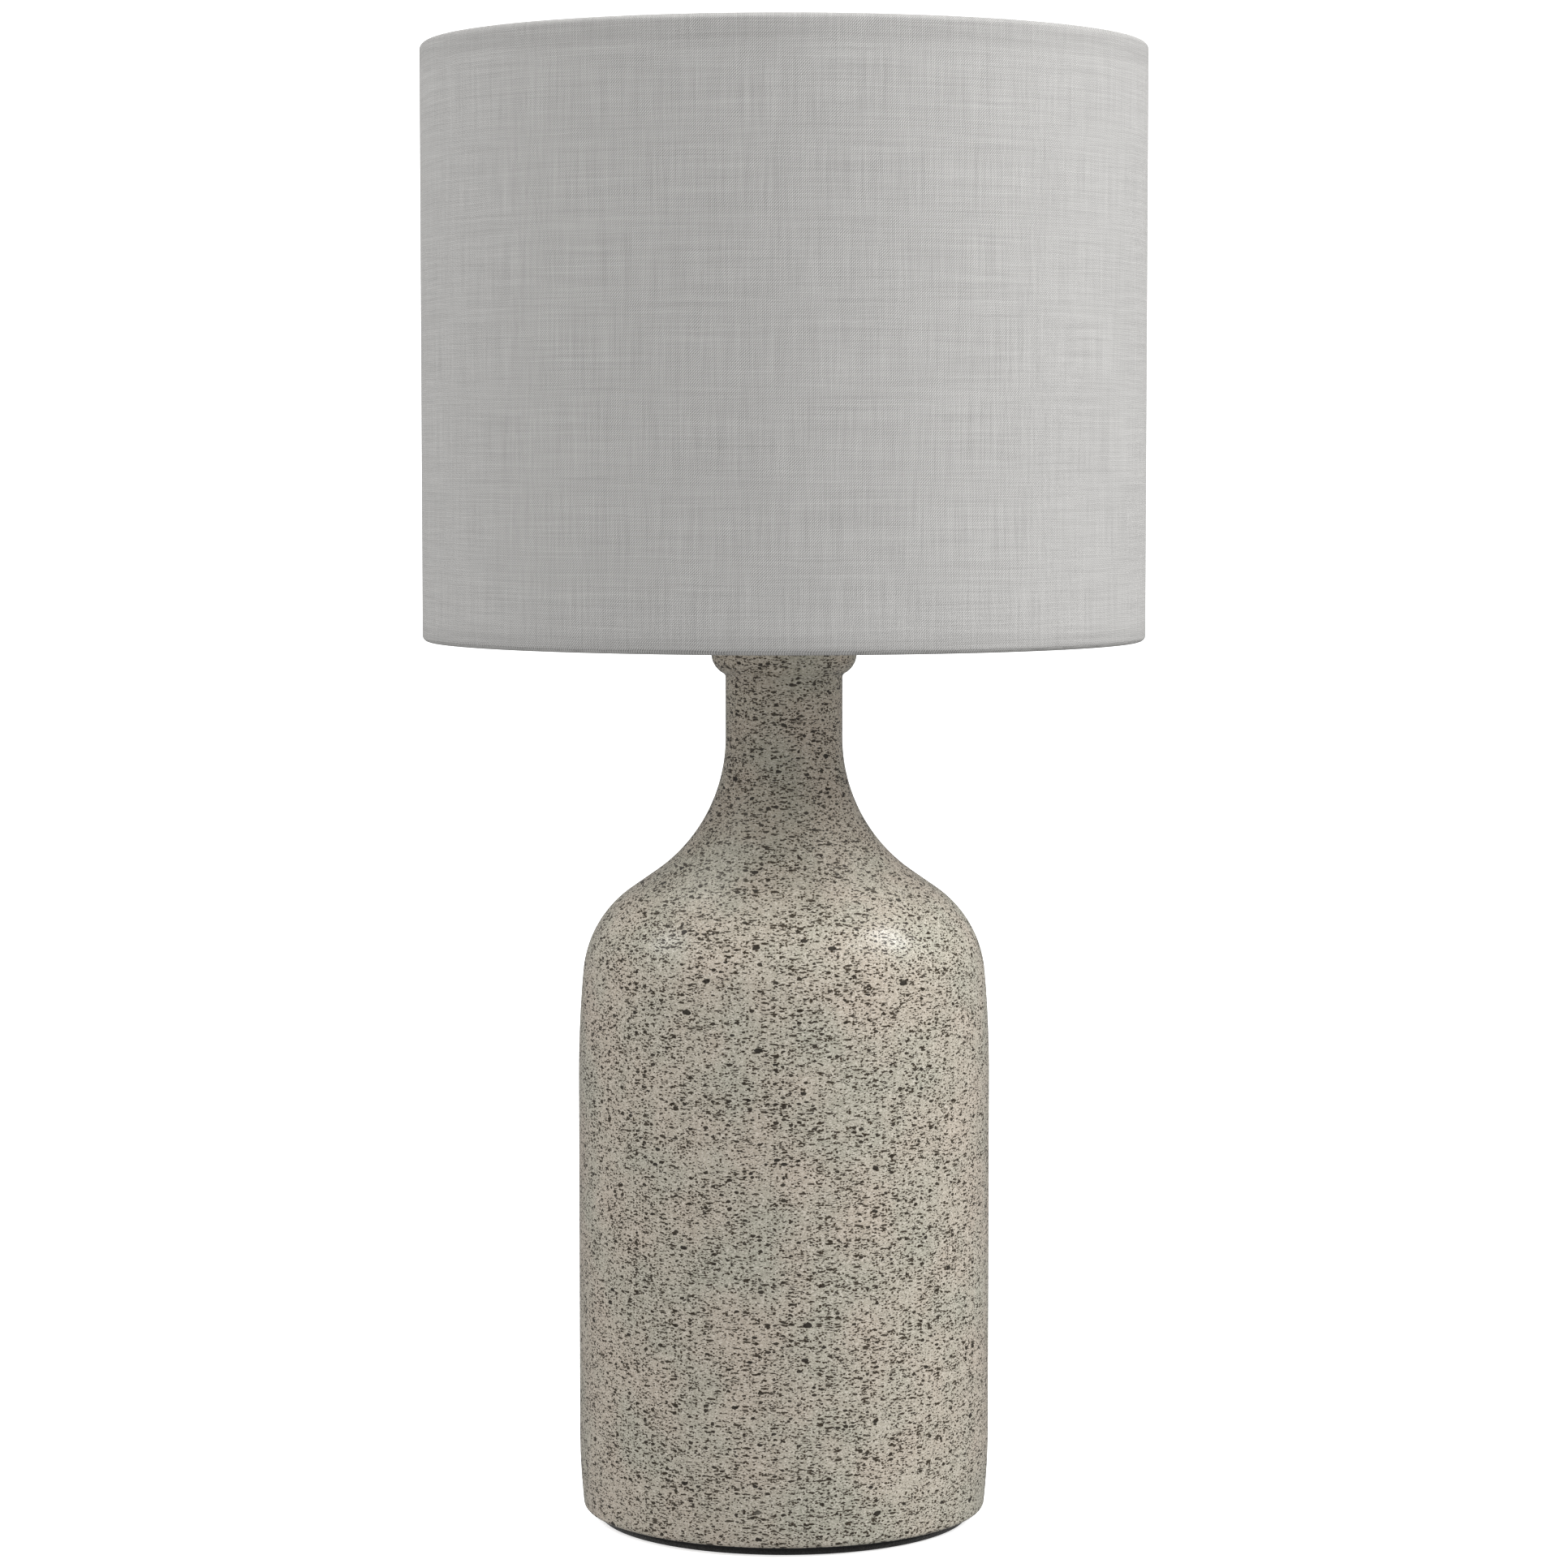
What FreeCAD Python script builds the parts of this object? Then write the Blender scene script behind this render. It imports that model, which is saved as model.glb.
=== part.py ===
"""Table lamp: a glazed ceramic bottle on a black foot, with a drum shade carried by a harp.

Millimetres, +Z up. The origin is on the lamp's axis at the surface it stands on, the cord leaves
towards +Y, the switch knob points towards -Y and the harp stands in the XZ plane.
"""
import FreeCAD
import Part
import math
import os
import re
import Sketcher

SIZES = [
    ("foot_radius", 78.6, "radius of the black foot"),
    ("pad_height", 2.0, "thickness of the felt pad"),
    ("cover_height", 2.2, "thickness of the foot plate"),
    ("foot_opening", 66.0, "opening in the underside of the ceramic"),
    ("foot_fillet", 2.2, "rounding at the bottom edge of the ceramic"),
    ("foot_arc", 301.5, "radius of the gentle curve above the bottom edge"),
    ("foot_turn", 6.12, "angle through which that curve turns, degrees"),
    ("foot_ring", 8.0, "height of the thick ring that the ceramic stands on"),
    ("body_radius", 87.35, "radius of the ceramic's straight side"),
    ("side_top", 188.8, "height at which the straight side ends"),
    ("side_arc", 497.0, "radius of the gentle curve above the straight side"),
    ("side_turn", 5.22, "angle through which that curve turns, degrees"),
    ("shoulder_arc", 47.5, "radius of the shoulder"),
    ("shoulder_turn", 55.2, "slope of the shoulder from the vertical, degrees"),
    ("neck_arc", 69.2, "radius of the curve from shoulder to neck"),
    ("neck_radius", 24.8, "radius of the neck"),
    ("bead_radius", 9.5, "section radius of the rolled lip"),
    ("bead_centre", 21.3, "distance of the lip's section centre from the axis"),
    ("bead_fillet", 2.0, "hollow between neck and lip"),
    ("lip_top", 378.0, "height of the flat top of the lip"),
    ("ceramic_wall", 6.0, "wall of the ceramic"),
    ("web_height", 8.0, "thickness of the web that closes the neck"),
    ("web_hole", 5.5, "radius of the hole in the web"),
    ("entry_z", 22.0, "height of the cord's entry"),
    ("entry_seat", 86.0, "distance of the entry's outer seat from the axis"),
    ("entry_back", 81.4, "distance of the entry's inner seat from the axis"),
    ("entry_hole", 6.0, "radius of the entry's hole"),
    ("entry_face", 10.0, "radius of the entry's two seats"),
    ("bushing_bore", 3.75, "radius of the passage for the cord"),
    ("bushing_length", 14.0, "length of the bushing's sleeve"),
    ("nipple_radius", 5.0, "radius of the threaded nipple"),
    ("nipple_bore", 3.5, "radius of the nipple's bore"),
    ("nut_height", 3.0, "height of a nut on the nipple"),
    ("nut_radius", 8.1, "radius over the corners of a nut"),
    ("washer_height", 1.6, "thickness of the washer under the web"),
    ("cap_height", 4.0, "height of the vase cap"),
    ("lock_height", 1.0, "thickness of the lock washer"),
    ("strip_height", 1.5, "thickness of the harp saddle"),
    ("strip_width", 12.0, "width of the harp saddle"),
    ("leg_reach", 25.0, "distance of a harp leg from the axis"),
    ("prong_radius", 1.6, "radius of a saddle prong"),
    ("post_radius", 2.6, "radius of the post under a prong"),
    ("sleeve_low", 396.0, "height of the posts' tops"),
    ("leg_low", 404.0, "height at which the harp's legs end"),
    ("sleeve_length", 16.0, "length of a harp sleeve"),
    ("sleeve_bore", 2.1, "bore radius of a harp sleeve"),
    ("sleeve_radius", 3.2, "outer radius of a harp sleeve"),
    ("wire_radius", 1.8, "radius of the harp's wire"),
    ("harp_crown", 593.2, "height of the harp wire's centre at its top"),
    ("harp_reach", 52.0, "greatest distance of the harp's wire from the axis"),
    ("foot_bend", 15.0, "radius of the bend above a harp leg"),
    ("bend_turn", 40.0, "angle of that bend, degrees"),
    ("bow_arc", 140.0, "radius of the harp's upper bow"),
    ("bow_turn", 30.0, "angle through which the bow leans in, degrees"),
    ("crown_bend", 26.0, "radius of the bend at the crown"),
    ("flange_radius", 9.0, "radius of the stud's flange and of the washer on it"),
    ("flange_low", 595.2, "height of the underside of the stud's flange"),
    ("flange_height", 1.5, "thickness of the stud's flange"),
    ("stud_radius", 3.1, "radius of the stud"),
    ("stud_top", 607.0, "height of the stud's end"),
    ("stud_clear", 3.4, "radius of the holes that sit on the stud"),
    ("shim_height", 0.8, "thickness of the washers above and below the spider"),
    ("hub_radius", 12.5, "radius of the spider's hub"),
    ("hub_height", 2.0, "thickness of the spider's hub"),
    ("arm_radius", 1.6, "radius of a spider arm"),
    ("arm_bend", 14.2, "radius of the bend at the end of an arm"),
    ("arm_reach", 149.2, "distance of an arm's upright end from the axis"),
    ("finial_height", 21.0, "height of the finial"),
    ("ball_radius", 8.5, "radius of the finial's ball"),
    ("shade_radius", 152.4, "outer radius of the shade"),
    ("shade_low", 374.1, "height of the shade's bottom edge"),
    ("shade_top", 623.2, "height of the shade's top edge"),
    ("roll_radius", 2.5, "rounding of the shade's rolled edges"),
    ("ring_wire", 1.45, "radius of the shade rings' wire"),
    ("fabric_wall", 0.4, "thickness of the fabric"),
    ("liner_wall", 0.55, "thickness of the shade's liner"),
    ("cup_top", 405.5, "height of the socket cap's rim"),
    ("cup_radius", 17.3, "outer radius of the socket cap"),
    ("shell_radius", 16.4, "outer radius of the socket shell"),
    ("shell_low", 399.0, "height of the socket shell's lower edge"),
    ("shell_top", 447.0, "height of the socket shell's rim"),
    ("core_low", 404.0, "height of the socket core's underside"),
    ("core_radius", 13.1, "radius of the socket core"),
    ("core_top", 416.0, "height of the socket core's top"),
    ("stem_z", 409.0, "height of the switch stem and the terminals"),
    ("stem_radius", 1.8, "radius of the switch stem"),
    ("knob_radius", 6.5, "radius of the switch knob"),
    ("knob_length", 14.0, "length of the switch knob"),
    ("knob_face", 24.0, "distance of the knob's near face from the axis"),
    ("screw_bore", 13.3, "inner radius of the screw shell"),
    ("lead_radius", 1.0, "radius of an insulated lead"),
    ("lead_gap", 1.6, "distance of a lead in the nipple from the axis"),
    ("lead_bend", 28.0, "radius of a lead's bend at the foot of the bottle"),
    ("terminal_reach", 14.15, "distance of a lead's end from the axis"),
    ("bulb_thread", 13.0, "radius of the bulb's screw cap"),
    ("bulb_low", 418.5, "height of the bulb's contact"),
    ("globe_radius", 30.0, "radius of the bulb's globe"),
    ("globe_z", 497.5, "height of the globe's centre"),
    ("globe_low", 486.0, "height at which the globe meets the housing"),
    ("housing_low", 443.5, "height of the housing's lower end"),
]
WORDS = {alias for alias, number, note in SIZES}
ARM_COUNT = 3

DOC = FreeCAD.newDocument("table_lamp")
SHEET = DOC.addObject("Spreadsheet::Sheet", "Sizes")
NODES = []


# ---------------------------------------------------------------- the sheet and the sketches

def fill_sheet():
    """Put every driving dimension in the sheet, under its own word."""
    for row, (alias, number, note) in enumerate(SIZES, 1):
        SHEET.set(f"A{row}", note)
        SHEET.set(f"B{row}", str(number))
        SHEET.setAlias(f"B{row}", alias)
    DOC.recompute()


def linked(formula):
    """Write a formula so that each dimension's word reads the sheet."""
    return re.sub(r"[a-z]\w+", lambda word: f"Sizes.{word[0]}" if word[0] in WORDS else word[0],
                  str(formula))


def size(formula):
    """Give the present value of a formula, in millimetres or degrees."""
    result = SHEET.evalExpression(linked(formula))
    return float(getattr(result, "Value", result))


def bind(item, name, formula):
    """Bind one property of an object to a formula."""
    item.setExpression(name, linked(formula))


def node(item):
    """Keep an object as one node of the lamp."""
    NODES.append(item)
    return item


def new_body(label):
    """Start a sub-part."""
    body = DOC.addObject("PartDesign::Body", label)
    body.Label = label
    return body


def new_sketch(body, plane, name, lift="0"):
    """Start a sketch on one of a body's origin planes, lifted along the plane's normal."""
    drawing = body.newObject("Sketcher::SketchObject", name)
    face = next(part for part in body.Origin.OriginFeatures if part.Role == plane)
    drawing.AttachmentSupport = [(face, "")]
    drawing.MapMode = "FlatFace"
    bind(drawing, "AttachmentOffset.Base.z", lift)
    return drawing


def hold(drawing, edge, end, across, up):
    """Hold one end of a sketch edge at two formulas, measured from the sketch's origin."""
    for kind, formula, axis in (("DistanceX", across, -2), ("DistanceY", up, -1)):
        if formula == "0":
            drawing.addConstraint(Sketcher.Constraint("PointOnObject", edge, end, axis))
        elif formula.startswith("-"):
            length = formula[1:]
            rule = Sketcher.Constraint(kind, edge, end, -1, 1, size(length))
            bind(drawing, f"Constraints[{drawing.addConstraint(rule)}]", length)
        else:
            rule = Sketcher.Constraint(kind, -1, 1, edge, end, size(formula))
            bind(drawing, f"Constraints[{drawing.addConstraint(rule)}]", formula)


def arc_between(start, finish, radius):
    """Make the short arc of a signed radius: positive turns left on the way from start to finish."""
    half = (finish - start) * 0.5
    left = FreeCAD.Vector(-half.y, half.x, 0).normalize()
    rise = math.sqrt(max(radius * radius - half.Length ** 2, 0.0))
    centre = start + half + left * math.copysign(rise, radius)
    low, high = (start, finish) if radius > 0 else (finish, start)
    first = math.atan2(low.y - centre.y, low.x - centre.x)
    last = math.atan2(high.y - centre.y, high.x - centre.x)
    circle = Part.Circle(centre, FreeCAD.Vector(0, 0, 1), abs(radius))
    return Part.ArcOfCircle(circle, first, last if last > first else last + 2 * math.pi)


def draw(drawing, corners, closed=True):
    """Draw a chain of edges through corners (across, up) or (across, up, side, radius formula).

    With a side of "left" or "right", the edge that leaves the corner is an arc that turns that way.
    """
    points = [FreeCAD.Vector(size(corner[0]), size(corner[1]), 0) for corner in corners]
    count = len(corners) if closed else len(corners) - 1
    ends = []
    for number in range(count):
        start, finish = points[number], points[(number + 1) % len(points)]
        if len(corners[number]) == 2:
            edge = drawing.addGeometry(Part.LineSegment(start, finish), False)
            ends.append((edge, 1, 2))
            continue
        side, radius = corners[number][2:]
        sign = 1 if side == "left" else -1
        edge = drawing.addGeometry(arc_between(start, finish, sign * size(radius)), False)
        ends.append((edge, 1, 2) if sign > 0 else (edge, 2, 1))
    for number, (edge, first, last) in enumerate(ends):
        hold(drawing, edge, first, *corners[number][:2])
        if closed or number + 1 < count:
            following, joined, _ = ends[(number + 1) % count]
            drawing.addConstraint(Sketcher.Constraint("Coincident", edge, last, following, joined))
    if not closed:
        hold(drawing, ends[-1][0], ends[-1][2], *corners[-1][:2])
    for number, (edge, _, _) in enumerate(ends):
        if len(corners[number]) > 2:
            radius = corners[number][3]
            rule = Sketcher.Constraint("Radius", edge, size(radius))
            bind(drawing, f"Constraints[{drawing.addConstraint(rule)}]", radius)


def draw_circle(drawing, across, up, radius):
    """Draw one circle at two formulas, with a radius formula."""
    centre = FreeCAD.Vector(size(across), size(up), 0)
    edge = drawing.addGeometry(Part.Circle(centre, FreeCAD.Vector(0, 0, 1), size(radius)), False)
    hold(drawing, edge, 3, across, up)
    rule = Sketcher.Constraint("Radius", edge, size(radius))
    bind(drawing, f"Constraints[{drawing.addConstraint(rule)}]", radius)


# ---------------------------------------------------------------- ways of making a sub-part

def turn(body, corners):
    """Turn an outline of (radius, height) corners about the body's own Z axis."""
    drawing = new_sketch(body, "XZ_Plane", f"{body.Label}_outline")
    draw(drawing, corners)
    feature = body.newObject("PartDesign::Revolution", f"{body.Label}_turn")
    feature.Profile = drawing
    feature.ReferenceAxis = (drawing, ["V_Axis"])
    feature.Angle = 360
    return body


def turned(label, corners):
    """Make a sub-part that is turned about its own Z axis."""
    return node(turn(new_body(label), corners))


def ring(label, inner, outer, low, high):
    """Make a washer, a plate or a plain tube on the lamp's axis."""
    return turned(label, [(inner, low), (outer, low), (outer, high), (inner, high)])


def pad(body, name, plane, lift, length, draws):
    """Pad what draws(sketch) draws, away from the lifted plane, along its normal."""
    drawing = new_sketch(body, plane, f"{name}_outline", lift)
    draws(drawing)
    feature = body.newObject("PartDesign::Pad", name)
    feature.Profile = drawing
    bind(feature, "Length", length)
    return feature


def bore(body, name, distance, length, up, radius, side=1):
    """Cut a round hole along +Y, or along -Y with side=-1, from a distance in front of the axis."""
    before = body.Shape.Volume
    lift = f"-({distance})" if side > 0 else distance
    drawing = new_sketch(body, "XZ_Plane", f"{name}_outline", lift)
    draw_circle(drawing, "0", up, radius)
    feature = body.newObject("PartDesign::Pocket", name)
    feature.Profile = drawing
    feature.Reversed = side < 0
    bind(feature, "Length", length)
    DOC.recompute()
    if body.Shape.Volume >= before:
        raise RuntimeError(f"{name} cut nothing")
    return feature


def wire(body, name, start, lift, radius, plane, path, side="0"):
    """Run a round wire along a path of corners that starts upright at (x, y) and a lifted plane."""
    section = new_sketch(body, "XY_Plane", f"{name}_section", lift)
    draw_circle(section, *start, radius)
    spine = new_sketch(body, plane, f"{name}_path", side)
    draw(spine, path, closed=False)
    feature = body.newObject("PartDesign::AdditivePipe", name)
    feature.Profile = section
    feature.Spine = (spine, [f"Edge{edge + 1}" for edge in range(len(path) - 1)])
    return feature


def lay_back(body, height, towards):
    """Lay a sub-part that was turned about Z along +Y (towards = 1) or -Y (towards = -1)."""
    body.Placement = FreeCAD.Placement(
        FreeCAD.Vector(0, 0, size(height)),
        FreeCAD.Rotation(FreeCAD.Vector(1, 0, 0), -90 * towards),
    )
    bind(body, "Placement.Base.z", height)
    return body


def nut(label, low, height, radius, hole):
    """Make a hexagon nut on the lamp's axis."""
    block = DOC.addObject("Part::Prism", f"{label}_block")
    block.Polygon = 6
    bind(block, "Circumradius", radius)
    bind(block, "Height", height)
    bind(block, "Placement.Base.z", low)
    thread = DOC.addObject("Part::Cylinder", f"{label}_thread")
    bind(thread, "Radius", hole)
    bind(thread, "Height", height)
    bind(thread, "Placement.Base.z", low)
    cut = DOC.addObject("Part::Cut", label)
    cut.Label = label
    cut.Base = block
    cut.Tool = thread
    return node(cut)


# ---------------------------------------------------------------- the foot and the bottle

PLATE_TOP = "(pad_height + cover_height)"


def foot():
    """Make the felt pad and the plate that closes the underside of the bottle."""
    turned("foot_pad", [("0", "0"), ("foot_radius", "0"), ("foot_radius", "pad_height"),
                        ("0", "pad_height")])
    spigot = "foot_opening - 0.6"
    turned("foot_plate", [
        ("0", "pad_height"), ("foot_radius", "pad_height"), ("foot_radius", PLATE_TOP),
        (spigot, PLATE_TOP), (spigot, f"{PLATE_TOP} + 4"), (f"{spigot} - 2", f"{PLATE_TOP} + 4"),
        (f"{spigot} - 2", PLATE_TOP), ("0", PLATE_TOP),
    ])


def bottle_side(depth):
    """List the corners from the straight side up to the neck, a depth inside the outer face."""
    side_radius = f"(side_arc - {depth})"
    shoulder_radius = f"(shoulder_arc - {depth})"
    hollow_radius = f"(neck_arc + {depth})"
    side = f"(body_radius - {depth})"
    neck = f"(neck_radius - {depth})"
    start = (f"{side} - {side_radius} * (1 - cos(side_turn))",
             f"side_top + {side_radius} * sin(side_turn)")
    slope = (f"{start[0]} - {shoulder_radius} * (cos(side_turn) - cos(shoulder_turn))",
             f"{start[1]} + {shoulder_radius} * (sin(shoulder_turn) - sin(side_turn))")
    hollow = f"{neck} + {hollow_radius} * (1 - cos(shoulder_turn))"
    run = f"({slope[0]} - ({hollow})) / tan(shoulder_turn)"
    return [
        (side, "side_top", "left", side_radius),
        (*start, "left", shoulder_radius),
        slope,
        (hollow, f"{slope[1]} + {run}", "right", hollow_radius),
        (neck, f"{slope[1]} + {run} + {hollow_radius} * sin(shoulder_turn)"),
    ]


def bottle_foot():
    """List the corners of the rounded bottom edge, up to the straight side."""
    fillet_top = f"{PLATE_TOP} + foot_fillet * (1 - sin(foot_turn))"
    out = "body_radius - foot_arc * (1 - cos(foot_turn))"
    return [
        ("foot_opening", PLATE_TOP),
        (f"{out} - foot_fillet * cos(foot_turn)", PLATE_TOP, "left", "foot_fillet"),
        (out, fillet_top, "left", "foot_arc"),
        ("body_radius", f"{fillet_top} + foot_arc * sin(foot_turn)"),
    ]


def bottle_lip():
    """List the corners of the neck's top, the rolled lip, the web and its hole."""
    middle = "(lip_top - bead_radius)"
    reach = "(bead_radius + bead_fillet)"
    offset = "(neck_radius + bead_fillet - bead_centre)"
    drop = f"sqrt({reach} * {reach} - {offset} * {offset})"
    return [
        ("neck_radius", f"{middle} - {drop}", "right", "bead_fillet"),
        (f"bead_centre + bead_radius * {offset} / {reach}",
         f"{middle} - bead_radius * {drop} / {reach}", "left", "bead_radius"),
        ("bead_centre", "lip_top"),
        ("web_hole", "lip_top"),
        ("web_hole", "lip_top - web_height"),
        ("neck_radius - ceramic_wall", "lip_top - web_height"),
    ]


def bottle():
    """Make the ceramic bottle with its cord hole and the two flat seats round it."""
    body = new_body("ceramic_body")
    floor = f"{PLATE_TOP} + foot_ring"
    inside = [corner[:2] for corner in bottle_side("ceramic_wall")]
    arcs = bottle_side("ceramic_wall")
    back = [inside[4] + ("left", arcs[3][3]), inside[3], inside[2] + ("right", arcs[1][3]),
            inside[1] + ("right", arcs[0][3]), inside[0]]
    turn(body, bottle_foot() + bottle_side("0") + bottle_lip() + back
         + [("body_radius - ceramic_wall", floor), ("foot_opening", floor)])
    DOC.recompute()
    bore(body, "cord_hole", "entry_back - 15", "30", "entry_z", "entry_hole")
    bore(body, "outer_seat", "entry_seat", "10", "entry_z", "entry_face")
    bore(body, "inner_seat", "entry_back - 10", "10", "entry_z", "entry_face")
    node(body)


def cord_entry():
    """Make the flanged bushing that takes the cord, and the nut that holds it inside."""
    sleeve = "entry_hole - 0.3"
    bushing = turned("cord_bushing", [
        ("bushing_bore", "entry_seat - bushing_length"), (sleeve, "entry_seat - bushing_length"),
        (sleeve, "entry_seat"), ("entry_face - 1.2", "entry_seat"),
        ("entry_face - 1.2", "entry_seat + 1.2", "left", "1.2"),
        ("entry_face - 2.4", "entry_seat + 2.4"),
        ("bushing_bore + 1", "entry_seat + 2.4", "left", "1"), ("bushing_bore", "entry_seat + 1.4"),
    ])
    lay_back(bushing, "entry_z", 1)
    fixing = new_body("bushing_nut")

    def hexagon(drawing):
        radius = "(entry_face - 1)"
        half = f"{radius} * sin(60)"
        draw(drawing, [(radius, "0"), (f"{radius} / 2", half), (f"-{radius} / 2", half),
                       (f"-{radius}", "0"), (f"-{radius} / 2", f"-{half}"),
                       (f"{radius} / 2", f"-{half}")])
        draw_circle(drawing, "0", "0", sleeve)

    pad(fixing, "nut_pad", "XY_Plane", "entry_back - 4", "4", hexagon)
    lay_back(node(fixing), "entry_z", 1)


# ---------------------------------------------------------------- the stack on the neck

WEB_LOW = "(lip_top - web_height)"
CAP_TOP = "(lip_top + cap_height)"
NUT_TOP = f"({CAP_TOP} + nut_height)"
LOCK_TOP = f"({NUT_TOP} + lock_height)"
STRIP_TOP = f"({LOCK_TOP} + strip_height)"


def neck_stack():
    """Make the nipple with its washers and nuts, and the cap on the lip."""
    snug = "nipple_radius + 0.1"
    ring("threaded_nipple", "nipple_bore", "nipple_radius", f"{WEB_LOW} - 8", f"{STRIP_TOP} + 3")
    ring("neck_washer", snug, "16", f"{WEB_LOW} - washer_height", WEB_LOW)
    nut("lower_nut", f"{WEB_LOW} - washer_height - nut_height", "nut_height", "nut_radius", snug)
    turned("vase_cap", [
        (snug, "lip_top"), ("bead_centre", "lip_top"), ("bead_centre", "lip_top + 0.8", "left", "1.2"),
        ("bead_centre - 1.2", "lip_top + 2"), ("14", "lip_top + 2", "right", "2"),
        ("12", f"{CAP_TOP}"), (snug, CAP_TOP),
    ])
    nut("upper_nut", CAP_TOP, "nut_height", "nut_radius", snug)
    ring("lock_washer", snug, "nut_radius", NUT_TOP, LOCK_TOP)


def saddle():
    """Make the saddle strip with its two posts and the prongs that the harp stands on."""
    body = new_body("harp_saddle")

    def strip(drawing):
        draw(drawing, [("-leg_reach", "-strip_width / 2"), ("leg_reach", "-strip_width / 2",
                                                             "left", "strip_width / 2 + 0.001"),
                       ("leg_reach", "strip_width / 2"),
                       ("-leg_reach", "strip_width / 2", "left", "strip_width / 2 + 0.001")])
        draw_circle(drawing, "0", "0", "nipple_radius + 0.1")

    pad(body, "strip", "XY_Plane", LOCK_TOP, "strip_height", strip)
    for side, across in (("right", "leg_reach"), ("left", "-leg_reach")):
        pad(body, f"post_{side}", "XY_Plane", STRIP_TOP, f"sleeve_low - {STRIP_TOP}",
            lambda drawing: draw_circle(drawing, across, "0", "post_radius"))
        pad(body, f"prong_{side}", "XY_Plane", "sleeve_low", "leg_low - sleeve_low - 0.3",
            lambda drawing: draw_circle(drawing, across, "0", "prong_radius"))
    node(body)


# ---------------------------------------------------------------- the socket and its wiring

def socket_shells():
    """Make the socket's cap, its shell and the paper liner, with the hole for the switch stem."""
    boss, wall = "8.5", "0.8"
    inner = f"cup_radius - {wall}"
    turned("socket_cap", [
        ("nipple_radius + 0.1", STRIP_TOP), (boss, STRIP_TOP), (boss, f"{STRIP_TOP} + 2.8"),
        ("cup_radius", f"{STRIP_TOP} + 10.2"), ("cup_radius", "cup_top"), (inner, "cup_top"),
        (inner, f"{STRIP_TOP} + 10.7"), (f"{boss} - 0.6", f"{STRIP_TOP} + 3.5"),
        ("nipple_radius + 0.1", f"{STRIP_TOP} + 3.5"),
    ])
    shell = ring("socket_shell", "shell_radius - 0.5", "shell_radius", "shell_low", "shell_top")
    liner = ring("socket_liner", "shell_radius - 1.1", "shell_radius - 0.6", "shell_low + 2",
                 "shell_top - 2")
    DOC.recompute()
    for body in (shell, liner):
        bore(body, f"{body.Label}_stem_hole", "5", "20", "stem_z", "stem_radius + 0.6", side=-1)


def socket_inside():
    """Make the moulded core, its terminals, the screw shell and the contact at its foot."""
    core = turned("socket_core", [
        ("0", "core_low"), ("core_radius", "core_low"), ("core_radius", "core_top - 3"),
        ("core_radius + 2", "core_top - 3"), ("core_radius + 2", "core_top"), ("0", "core_top"),
    ])
    DOC.recompute()
    bore(core, "stem_socket", "core_radius - 5", "10", "stem_z", "stem_radius + 0.3", side=-1)
    ring("screw_shell", "screw_bore", "screw_bore + 0.5", "core_top", "core_top + 25")
    turned("centre_contact", [("0", "core_top"), ("5", "core_top"), ("5", "core_top + 0.6"),
                              ("2.5", "core_top + 2"), ("0", "core_top + 2")])
    screws = DOC.addObject("Part::Compound", "terminal_screws")
    screws.Label = "terminal_screws"
    heads = []
    for side, angle in (("right", 90), ("left", -90)):
        head = DOC.addObject("Part::Cylinder", f"screw_{side}")
        bind(head, "Radius", "2.2")
        bind(head, "Height", "1.5")
        head.Placement.Rotation = FreeCAD.Rotation(FreeCAD.Vector(0, 1, 0), angle)
        bind(head, "Placement.Base.x", "core_radius" if angle > 0 else "-core_radius")
        bind(head, "Placement.Base.z", "stem_z")
        heads.append(head)
    screws.Links = heads
    node(screws)


def leads():
    """Make the two leads, from the inner end of the cord's entry up to the terminals."""
    nipple_top = f"({STRIP_TOP} + 3)"
    middle = f"{nipple_top} + lead_bend / 4"
    step = "(terminal_reach - lead_gap) / 2"
    for name, sign in (("live_lead", ""), ("neutral_lead", "-")):
        body = new_body(name)
        gap, reach = f"{sign}lead_gap", f"{sign}terminal_reach"
        halfway = f"{sign}(terminal_reach + lead_gap) / 2"
        first, second = ("right", "left") if sign == "" else ("left", "right")
        wire(body, f"{name}_column", (gap, "0"), nipple_top, "lead_radius", "YZ_Plane", [
            ("0", nipple_top), ("0", "entry_z + lead_bend", "left", "lead_bend"),
            ("lead_bend", "entry_z"), ("entry_seat - bushing_length - 2", "entry_z"),
        ], side=gap)
        wire(body, f"{name}_branch", (gap, "0"), nipple_top, "lead_radius", "XZ_Plane", [
            (gap, nipple_top), (gap, f"{nipple_top} + 0.6", first, step),
            (halfway, f"{nipple_top} + 0.6 + {step}", second, step),
            (reach, f"{nipple_top} + 0.6 + 2 * {step}"), (reach, "stem_z - 2.4"),
        ])
        node(body)


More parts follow.
